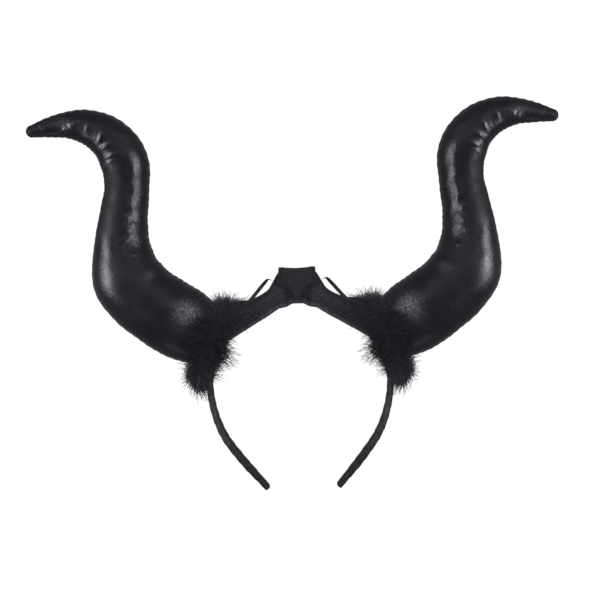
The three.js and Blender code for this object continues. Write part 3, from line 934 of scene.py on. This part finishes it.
def fur_trim(settings, fibre):
    """The right trim: its backing, with strands that lie away from the horn's root on both sides."""
    grid, turn, roll = fur_ring(
        np.linspace(0, 2 * math.pi, 72, endpoint=False), np.linspace(0, 2 * math.pi, 20, endpoint=False)
    )
    piece = skin("fur_right", grid, hoop=True)
    # places on it: round the horn 0 degrees faces up, 90 is the trim's upper end and -90 its lower end
    degrees = np.degrees(turn)
    side, out = np.sin(roll), np.cos(roll)
    horn_side, crown_side = np.maximum(side, 0), np.maximum(-side, 0)
    front = np.maximum(np.cos(turn), 0)
    low = near(degrees, -95, 30)
    inner_tuft = crown_side * near(degrees, -8, 20)
    upper_tuft = crown_side * near(degrees, 72, 30)
    beside_band = crown_side * near(degrees, -45, 16)
    inwards = np.clip(-out * 1.5 - 0.2, 0, 1) * near(degrees, -100, 48)
    behind = np.clip(1.1 - 1.4 * np.maximum(out, 0) - horn_side, 0, 1) * near(degrees, 180, 46)
    clear_of_floor = np.clip(np.cos(turn) * 2 + 1.9, 0.05, 1)
    clear_of_arm = np.clip((side + 0.95) / 0.3, 0, 1)
    # densest in the tufts, with some strands that close the gap to the horn and some on the ring's back
    growth = np.clip(out * 1.4 + 0.75, 0, 1) * clear_of_floor * (1 + 0.8 * inner_tuft + 0.4 * low)
    growth *= 1 - 0.5 * low * crown_side
    paint(piece, "growth", np.maximum(np.maximum(growth, 1.6 * inwards), 0.5 * behind))
    paint(piece, "backing", np.ones_like(growth))
    # longest on the horn's front, over the sleeve's end and in the lower tuft, shortest beside the band
    pile = 0.72 + (0.75 + 0.25 * np.sin(7 * turn)) * horn_side * front**3
    pile += 0.7 * inner_tuft + 0.85 * upper_tuft - 0.25 * beside_band
    pile += 0.5 * low * np.clip(out + 0.8 * crown_side, 0, 1) * clear_of_arm
    pile -= 0.5 * low * horn_side + 0.3 * low * (1 - clear_of_arm)
    pile = np.maximum(pile, 0.25) * (1 - 0.35 * behind)
    paint(piece, "pile", pile * (1 - inwards) + 1.25 * inwards)
    # combed off the root along the horn's axis, up in the upper tuft and down along the arm in the lower one
    along_horn = side * (0.8 + 1.4 * front - 0.3 * low - 0.3 * upper_tuft)
    along_horn -= 1.15 * low * (1 - 0.7 * horn_side) + 0.3 * upper_tuft
    comb = FUR_AXIS * along_horn[:, :, None]
    comb[:, :, 1] += 0.9 * upper_tuft - 0.6 * low * (1 - 0.6 * horn_side)
    comb[:, :, 2] -= 0.55 * front
    comb *= (1 - 0.8 * inwards)[:, :, None]
    layer = piece.data.attributes.new("comb", "FLOAT_VECTOR", "POINT")
    layer.data.foreach_set("vector", comb.astype(np.float32).ravel())
    strands = piece.modifiers.new("pile", "NODES")
    strands.node_group = pile_tree()
    values = {
        "Density": settings.density * 1e4,
        "Pile": settings.pile,
        "Strand Radius": settings.strand,
        "Lock Size": settings.lock,
        "Seed": settings.seed,
        "Fibre": fibre,
    }
    set_inputs(strands, values)
    settle(piece)
    for point in piece.data.vertices:
        point.co.z = max(point.co.z, STRAND_FLOOR * MM)
    return piece


class HEADBAND_OT_fur(Operator):
    """Make the fur trim around each horn's root"""

    bl_idname = "headband.fur"
    bl_label = "Fur trims"

    def execute(self, context):
        settings = context.scene.headband.fur
        fibre = fur_fibre(settings)
        right = fur_trim(settings, fibre)
        for piece, node in ((right, "right_fur"), (mirrored(right, "fur_left"), "left_fur")):
            finish_piece(piece, fibre, node)
        return {"FINISHED"}


# Sleeves


def sleeve_cloth(settings):
    """The right sleeve: a padded tube of cloth over the band, drawn towards the knot, with a hem below."""
    steps, sides = 110, 72
    along = spline(SLEEVE_SECTIONS, np.linspace(0, 1, steps))
    x, top, bottom, deep = (along[:, column : column + 1] for column in range(4))
    turns = around(sides)
    up, out = squared(np.sin(turns), 2 / SLEEVE_SQUARE), squared(np.cos(turns), 2 / SLEEVE_SQUARE)
    middle = (top + bottom) / 2
    y = middle + up * (top - bottom) / 2
    low, high, left_share = SLEEVE_SLOPE
    slope = ramp(y, low, high)
    z = out * deep / 2 * (1 + (left_share - 1) * slope**2 * (3 - 2 * slope))
    x = np.broadcast_to(x, y.shape)
    # folds drawn from the knot's foot outwards, with painted shade in them
    rise, fold = np.zeros_like(y), np.zeros_like(y)
    deepest = settings.folds / MM
    for start, level, angle, width, reach in SLEEVE_FOLDS:
        c, n = math.cos(math.radians(angle)), math.sin(math.radians(angle))
        aside, along_it = (x - start) * n - (y - level) * c, (x - start) * c + (y - level) * n
        depth = bump(aside, 0, width) * bump(along_it, 0, reach)
        rise -= deepest * depth
        rise += 0.5 * deepest * bump(aside, 1.9 * width, width) * bump(along_it, 0, reach)
        fold += 0.6 * depth
    # a rolled hem above the lower edge, with a painted highlight along it, and painted shade above it and on
    # the lower edge under it
    above = y - bottom
    wavy = 0.3 * np.sin(x * 1.9) + 0.35 * np.sin(x * 0.83 + 1)
    hem, above_hem = bump(above + wavy, 2.3, 1.2), bump(above + wavy, 4.9, 1.0)
    rise += (0.4 + 0.25 * np.sin(x * 2.2)) * hem - 0.45 * above_hem
    fold += 0.35 * above_hem - (3.2 + 0.8 * np.sin(x * 1.3 + 0.5) + 0.6 * np.sin(x * 2.9)) * hem - 0.62
    fold += 1.3 * bump(above, 0, 0.9)
    # painted shade along the drawn-up edge beside the knot's flank
    fold += 1.2 * bump(0.45 * (top - y), 0.5, 0.9) * ramp(x, 12, 14) * ramp(x, 34, 26)
    # shade beside the knot's slanting edge
    beside = (x - 4.5) * 0.688 - (y - 2.7) * 0.727
    fold += 0.25 * bump(beside, 0.2, 1.2) * ramp(y, 0.5, 2.5) * ramp(y, 10.5, 8.5)
    centre = np.stack([x, np.broadcast_to(middle, y.shape), np.zeros_like(y)], axis=-1)
    grid = np.stack([x, y, z], axis=-1)
    grid = grid + unit(grid - centre) * rise[:, :, None]
    piece = skin("sleeve_right", lean(grid))
    paint(piece, "fold", fold)
    return piece


class HEADBAND_OT_sleeves(Operator):
    """Make the two cloth sleeves of the crown"""

    bl_idname = "headband.sleeves"
    bl_label = "Sleeves"

    def execute(self, context):
        settings = context.scene.headband.cloth
        cloth = woven_cloth(settings)
        right = sleeve_cloth(settings)
        for piece, node in ((right, "right_sleeve"), (mirrored(right, "sleeve_left"), "left_sleeve")):
            finish_piece(piece, cloth, node)
        return {"FINISHED"}


# Knot


def knot_cloth(settings):
    """The knot: one strip of cloth around the crown, fanned out at its top and gathered at its foot."""
    steps, columns = 60, 48
    front = spline(KNOT_SECTIONS, np.linspace(0, 1, steps))
    rows = np.concatenate([front, front[::-1]])
    level, half_deep, half_wide = (rows[:, column : column + 1] for column in range(3))
    face = np.concatenate([np.ones((steps, 1)), -np.ones((steps, 1))])
    path = np.concatenate([level, half_deep * face], axis=1)
    step = unit(np.roll(path, -1, axis=0) - np.roll(path, 1, axis=0))
    outward = np.stack([-step[:, 1], step[:, 0]], axis=1)
    across = np.linspace(-1, 1, columns)[None, :]
    edge = np.abs(across)
    height = np.clip((level + 6) / 26.6, 0, 1)
    # flat in the middle, with two upright pleats by each edge and gathers below
    pleat = settings.pleat / MM
    rise = pleat * (bump(edge, 0.78, 0.05) + bump(edge, 0.92, 0.05)) * height**0.5
    rise = rise - 0.6 * pleat * bump(edge, 0.85, 0.04) * height**0.5
    rise = rise + 0.3 * pleat * (np.cos(across * math.pi * 5) - 1) * (1 - height) ** 1.5
    rise = rise - 0.45 * ramp(edge, 0.93, 1)
    place = path[:, None, :] + outward[:, None, :] * rise[:, :, None]
    sag = 0.7 * bump(across, 0, 0.6) * np.clip((level - 17) / 3.6, 0, 1)
    outer = np.stack([across * half_wide, place[:, :, 0] - sag, place[:, :, 1]], axis=-1)
    within = np.broadcast_to((path - outward * KNOT_WALL)[:, None, :], outer.shape[:2] + (2,))
    inner = np.concatenate([(across[:, ::-1] * half_wide)[:, :, None], within], axis=-1)
    piece = skin("knot_cloth", lean(np.concatenate([outer, inner], axis=1)), hoop=True)
    # painted shade under its slanting edges and between its pleats, painted light at its foot and its top
    fold = 0.65 * bump(edge, 0.85, 0.3) * ramp(level, -1, 2) * ramp(level, 12, 9)
    pleats = 0.8 * bump(edge, 0.85, 0.035) + 0.7 * bump(edge, 0.99, 0.04) - 0.7 * bump(edge, 0.92, 0.03)
    fold = fold + pleats * ramp(level, 12, 15)
    fold = fold - 3.6 * bump(level, -3.4, 1.2) - 0.15 * bump(level, 19.5, 1.6)
    paint(piece, "fold", np.concatenate([fold, fold], axis=1))
    return piece


class HEADBAND_OT_knot(Operator):
    """Make the gathered knot at the middle of the crown"""

    bl_idname = "headband.knot"
    bl_label = "Knot"

    def execute(self, context):
        piece = knot_cloth(context.scene.headband.cloth)
        finish_piece(piece, bpy.data.materials[WEAVE], "knot")
        return {"FINISHED"}


# Tapes


def tape_strip():
    """The right tape: flat elastic that leaves the knot's flank edge-on and twists flat onto the sleeve."""
    rows = spline(TAPE_ROUTE, np.linspace(0, 1, 90))
    centre, turn = rows[:, :3], np.radians(rows[:, 3:4])
    ahead = unit(np.gradient(centre, axis=0))
    flat = left_of(ahead)
    front = unit(np.cross(ahead, flat))
    wide_way = flat * np.cos(turn) + front * np.sin(turn)
    thick_way = np.cross(ahead, wide_way)
    rounds = around(16)
    wide = squared(np.cos(rounds), 0.35)[None, :, None] * TAPE_SIZE[0] / 2
    thick = squared(np.sin(rounds), 0.5)[None, :, None] * TAPE_SIZE[1] / 2
    # only a thread of it runs on from its upper end to the knot
    left = np.interp(rows[:, 0], (19.2, 21.6), (0.3, 1))[:, None, None]
    grid = centre[:, None, :] + wide_way[:, None, :] * wide * left + thick_way[:, None, :] * thick * left
    return skin("tape_right", lean(grid))


class HEADBAND_OT_tapes(Operator):
    """Make the two tapes that tie the sleeves to the knot"""

    bl_idname = "headband.tapes"
    bl_label = "Tapes"

    def execute(self, context):
        tape = elastic_tape(context.scene.headband.cloth)
        right = tape_strip()
        for piece, node in ((right, "right_tape"), (mirrored(right, "tape_left"), "left_tape")):
            finish_piece(piece, tape, node)
        return {"FINISHED"}


# Band


def band_ribbon(settings):
    """The band: a flat core wrapped in ribbon from its crown to its two folded tips."""
    steps, sides = 620, 24
    right = [(x, y, 0, thick) for x, y, thick in BAND_ROUTE]
    left = [(-x, y, 0, thick) for x, y, thick in BAND_ROUTE[:0:-1]]
    shares = np.linspace(0, 1, steps)
    rows = spline(left + right, shares, even=True)
    centre = rows[:, :3]
    half_length = np.linalg.norm(np.diff(centre, axis=0), axis=1).sum() / 2
    outward = left_of(np.gradient(centre, axis=0))
    from_crown = np.abs(2 * shares - 1)[:, None]
    half_wide = (BAND_WIDE[0] + (BAND_WIDE[1] - BAND_WIDE[0]) * from_crown) / 2
    # each arm thins towards its tip
    half_thick = rows[:, 3:4] / 2 - 0.6 * ramp(from_crown, 0.9, 1)
    rounds = around(sides)[None, :]
    out, up = squared(np.cos(rounds), 0.45), squared(np.sin(rounds), 0.45)
    # the ribbon climbs the band, so its edge slants across each face, and is folded flat over the tip
    phase = (from_crown * half_length / (settings.turn / MM) + rounds / (2 * math.pi)) % 1
    rise = settings.step / MM * (ramp(phase, 0, 0.86) - ramp(phase, 0.86, 1) - 0.5)
    tip = np.clip((from_crown - 0.965) / 0.006, 0, 1)
    rise = rise * (1 - tip) + 0.15 * tip
    ends = np.clip((1 - from_crown) * half_length / 0.9, 0, 1)
    rise = rise - 0.55 * (1 - np.sqrt(1 - (1 - ends) ** 2))
    grid = (
        centre[:, None, :]
        + outward[:, None, :] * (out * (half_thick + rise))[:, :, None]
        + UP * (up * (half_wide + rise))[:, :, None]
    )
    grid = lean(grid)
    grid[:, :, 2] = np.maximum(grid[:, :, 2], BAND_FLOOR)
    piece = skin("band_ribbon", grid)
    # painted shade along the band's four edges, and painted light on the faces of the upper arms near the
    # fur, fading towards the tips
    edge = ramp(np.abs(out) + np.abs(up), 1.55, 1.75)
    pale = 1.1 * ramp(from_crown, 0.9, 0.6) - 0.15
    paint(piece, "dim", 0.75 * edge - pale * (1 - edge))
    return piece


class HEADBAND_OT_band(Operator):
    """Make the ribbon-wrapped band"""

    bl_idname = "headband.band"
    bl_label = "Band"

    def execute(self, context):
        settings = context.scene.headband.band
        finish_piece(band_ribbon(settings), satin_ribbon(settings), "band")
        return {"FINISHED"}


# Stage


def softbox(name, azimuth, elevation, distance, size, power):
    """A soft light that faces the headband from the given side and height."""
    light = bpy.data.lights.new(name, "AREA")
    light.shape = "RECTANGLE"
    light.size, light.size_y = size
    light.energy = power
    light.color = linear("f6f6ff")[:3]
    lamp = placed(name, light)
    a, e = math.radians(azimuth), math.radians(elevation)
    away = Vector((math.cos(a) * math.cos(e), math.sin(a) * math.cos(e), math.sin(e)))
    lamp.location = away * distance + Vector(LIGHTS_MIDDLE)
    lamp.rotation_euler = away.to_track_quat("Z", "Y").to_euler()


class HEADBAND_OT_stage(Operator):
    """Make the floor, the lights and the camera"""

    bl_idname = "headband.stage"
    bl_label = "Stage"

    def execute(self, context):
        scene = context.scene
        settings = scene.headband.stage
        mesh = bpy.data.meshes.new("floor")
        corners = [(x * FLOOR_HALF, y * FLOOR_HALF, 0) for x, y in ((-1, -1), (1, -1), (1, 1), (-1, 1))]
        mesh.from_pydata(corners, [], [(0, 1, 2, 3)])
        mesh.materials.append(light_table(settings))
        floor = placed("floor", mesh)
        # the floor keeps its glow to itself, so that it doesn't rim the horns' edges
        floor.visible_glossy = False
        floor.visible_diffuse = False
        for name, azimuth, elevation, distance, size, power in SOFTBOXES:
            softbox(name, azimuth, elevation, distance, size, getattr(settings, power))
        world = bpy.data.worlds.new("even_light")
        world.use_nodes = True
        sky = {"Color": linear("f4f3ff"), "Strength": settings.sky}
        feed(world.node_tree, world.node_tree.nodes["Background"], sky)
        scene.world = world
        scene.view_settings.view_transform = "Standard"
        view = bpy.data.cameras.new("camera")
        view.sensor_width = SENSOR_WIDE
        view.lens = SENSOR_WIDE * settings.distance / settings.view_wide
        view.clip_end = 50
        camera = placed("camera", view)
        camera.location = Vector(VIEW_MIDDLE) + Vector((0, 0, settings.distance))
        camera.rotation_euler = (0, 0, -settings.roll)
        scene.camera = camera
        return {"FINISHED"}


# Panel and registration

OPERATORS = (
    HEADBAND_OT_stage,
    HEADBAND_OT_horns,
    HEADBAND_OT_fur,
    HEADBAND_OT_sleeves,
    HEADBAND_OT_knot,
    HEADBAND_OT_tapes,
    HEADBAND_OT_band,
)


class HEADBAND_PT_panel(Panel):
    """Lists the headband's pieces and their settings"""

    bl_idname = "HEADBAND_PT_panel"
    bl_label = "Horned headband"
    bl_space_type = "VIEW_3D"
    bl_region_type = "UI"
    bl_category = "Headband"

    def draw(self, context):
        settings = context.scene.headband
        for name in ("horn", "fur", "cloth", "band", "stage"):
            group = getattr(settings, name)
            box = self.layout.box()
            box.label(text=name.capitalize())
            for key in group.__annotations__:
                box.prop(group, key)
        for operator in OPERATORS:
            self.layout.operator(operator.bl_idname)


CLASSES = (
    HornSettings,
    FurSettings,
    ClothSettings,
    BandSettings,
    StageSettings,
    HeadbandSettings,
    *OPERATORS,
    HEADBAND_PT_panel,
)


def register():
    for cls in CLASSES:
        bpy.utils.register_class(cls)
    bpy.types.Scene.headband = PointerProperty(type=HeadbandSettings)


def unregister():
    del bpy.types.Scene.headband
    for cls in reversed(CLASSES):
        bpy.utils.unregister_class(cls)


def main():
    register()
    for operator in OPERATORS:
        getattr(bpy.ops.headband, operator.bl_idname.split(".")[1])()


if __name__ == "__main__":
    main()
